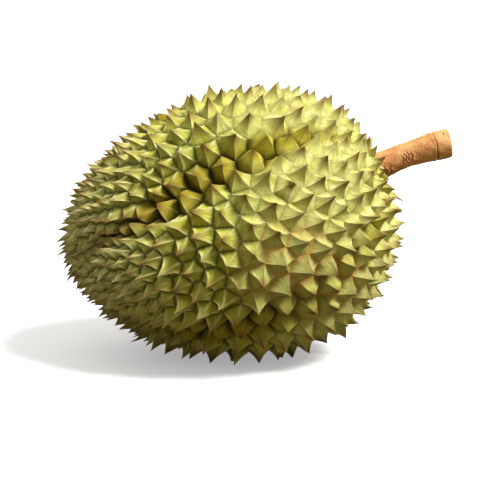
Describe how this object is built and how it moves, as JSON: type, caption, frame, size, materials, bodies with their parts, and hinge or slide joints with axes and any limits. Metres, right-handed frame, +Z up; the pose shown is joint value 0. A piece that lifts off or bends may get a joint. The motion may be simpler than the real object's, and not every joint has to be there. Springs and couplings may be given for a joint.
{
  "type": "durian",
  "caption": "Whole durian lying on its side: an egg-shaped husk with shallow lobes, covered in pyramid thorns, with a short woody stem.",
  "frame": {"origin": "on the resting surface, under the middle of the whole object's box", "axes": "+Z up from the resting surface, +X along the fruit's length towards the stem, -Y towards the side where a groove between two lobes shows"},
  "size_m": [0.32, 0.2328, 0.2283],
  "materials": {
    "husk": "fresh thorny rind, pale yellow-green on the lit faces, olive between the thorns, with dry brown tips and ridges",
    "stem_bark": "dry orange-brown bark with fine wrinkles and one ring scar, matt"
  },
  "bodies": {
    "root": {"husk": "husk", "stem": "stem_bark"}
  },
  "joints": []
}
